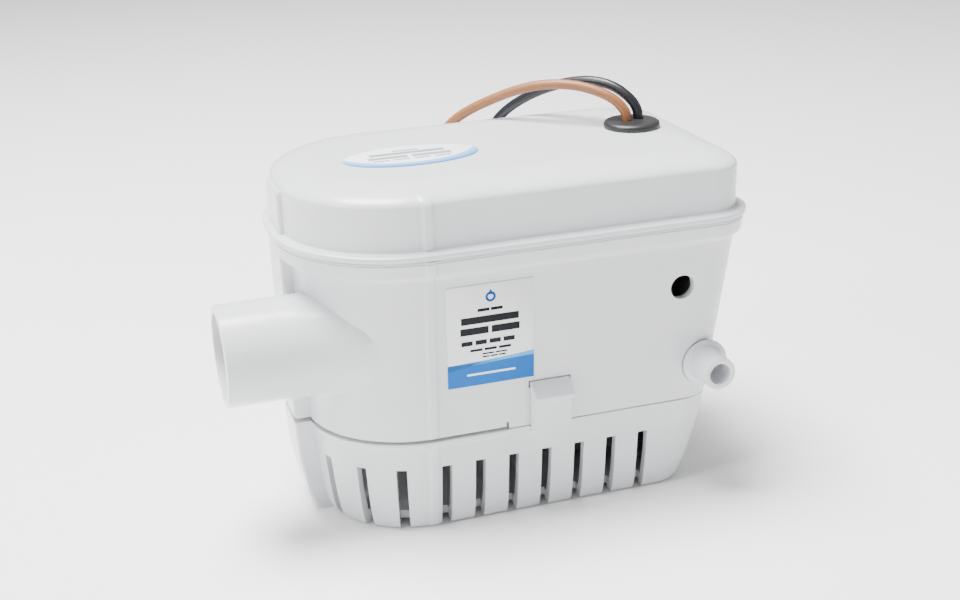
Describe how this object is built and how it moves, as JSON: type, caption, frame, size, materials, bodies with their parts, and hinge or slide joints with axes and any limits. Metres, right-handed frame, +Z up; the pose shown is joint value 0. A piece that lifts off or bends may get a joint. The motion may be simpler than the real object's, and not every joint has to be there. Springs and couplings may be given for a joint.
{
  "type": "bilge pump",
  "caption": "Automatic electric bilge pump with a side hose spout, a float switch with a test knob, and a slotted strainer base that snaps off.",
  "frame": {"origin": "middle of the four base screw holes, on the face that rests on the hull", "axes": "+X to the float and test knob end, -X to the hose spout, -Y the front with the label, +Z up"},
  "size_m": [0.1505, 0.1372, 0.1161],
  "materials": {
    "white_plastic": "moulded white ABS, semi-gloss",
    "black_rubber": "satin black rubber",
    "float_plastic": "matte dark grey",
    "black_plastic": "matte black",
    "plated_steel": "zinc plated",
    "stainless": "turned stainless",
    "magnet": "ferrite, matte",
    "core_steel": "laminated steel",
    "copper": "bare copper",
    "carbon": "carbon, matte",
    "brown_resin": "pressed resin",
    "bronze": "sintered bronze",
    "glass_green": "glassy pale green",
    "brown_insulation": "brown insulation, semi-gloss",
    "black_insulation": "black insulation, semi-gloss",
    "grey_insulation": "grey-blue insulation",
    "label_film": "printed film",
    "tie_plastic": "white nylon",
    "grey_plastic": "light grey plastic"
  },
  "bodies": {
    "strainer": {"strainer_base": "white_plastic"},
    "housing": {"top_cover": "white_plastic", "cover_gasket": "black_rubber", "cable_grommet": "black_rubber", "pump_housing": "white_plastic", "float_pin": "stainless", "switch_capsule": "black_plastic", "reed_switch": "glass_green", "switch_screws": "plated_steel", "motor_can": "plated_steel", "motor_end_cap": "black_plastic", "motor_screws": "plated_steel", "field_magnets": "magnet", "carbon_brushes": "carbon", "brush_holders": "brown_resin", "brush_springs": "plated_steel", "motor_terminals": "copper", "upper_bearing": "bronze", "lower_bearing": "bronze", "shaft_seal": "black_rubber", "volute_plate": "grey_plastic", "volute_o_ring": "black_rubber", "volute_screws": "plated_steel", "inner_brown_lead": "brown_insulation", "inner_black_lead": "black_insulation", "inner_switch_lead": "grey_insulation", "front_label": "label_film", "top_label": "label_film", "brown_lead": "brown_insulation", "black_lead": "black_insulation", "brown_coil": "brown_insulation", "black_coil": "black_insulation", "coil_tie": "tie_plastic", "brown_tip": "copper", "black_tip": "copper"},
    "front_catch": {"front_latch": "white_plastic"},
    "rear_catch": {"rear_latch": "white_plastic"},
    "rotor": {"motor_shaft": "stainless", "armature_core": "core_steel", "armature_windings": "copper", "commutator": "copper", "impeller": "black_plastic"},
    "float_arm": {"float": "float_plastic", "float_magnet": "magnet"},
    "knob": {"test_knob": "white_plastic", "knob_o_ring": "black_rubber", "knob_clip": "stainless"}
  },
  "joints": [
    {"name": "housing_lift", "type": "slide", "parent": "strainer", "child": "housing", "axis": [0, 0, 1], "range_m": [0, 0.045], "deforming": ["front_latch", "rear_latch"]},
    {"name": "front_latch_flex", "type": "hinge", "parent": "strainer", "child": "front_catch", "pos_m": [0, -0.0346, 0.0285], "axis": [1, 0, 0], "range_deg": [0, 7], "stiffness_Nm_per_rad": 0.5, "deforming": ["front_latch"]},
    {"name": "rear_latch_flex", "type": "hinge", "parent": "strainer", "child": "rear_catch", "pos_m": [0, 0.0346, 0.0285], "axis": [-1, 0, 0], "range_deg": [0, 7], "stiffness_Nm_per_rad": 0.5, "deforming": ["rear_latch"]},
    {"name": "rotor_spin", "type": "hinge", "parent": "housing", "child": "rotor", "pos_m": [-0.0302, 0, 0.06], "axis": [0, 0, 1], "continuous": true},
    {"name": "knob_turn", "type": "hinge", "parent": "housing", "child": "knob", "pos_m": [0.05208, -0.03, 0.0404], "axis": [0, 1, 0], "range_deg": [0, 50]},
    {"name": "float_swing", "type": "hinge", "parent": "housing", "child": "float_arm", "pos_m": [0.0048, 0, 0.034], "axis": [0, -1, 0], "range_deg": [0, 12]}
  ],
  "couplings": [
    {"joint": "float_swing", "follows": "knob_turn", "ratio": 0.24}
  ]
}
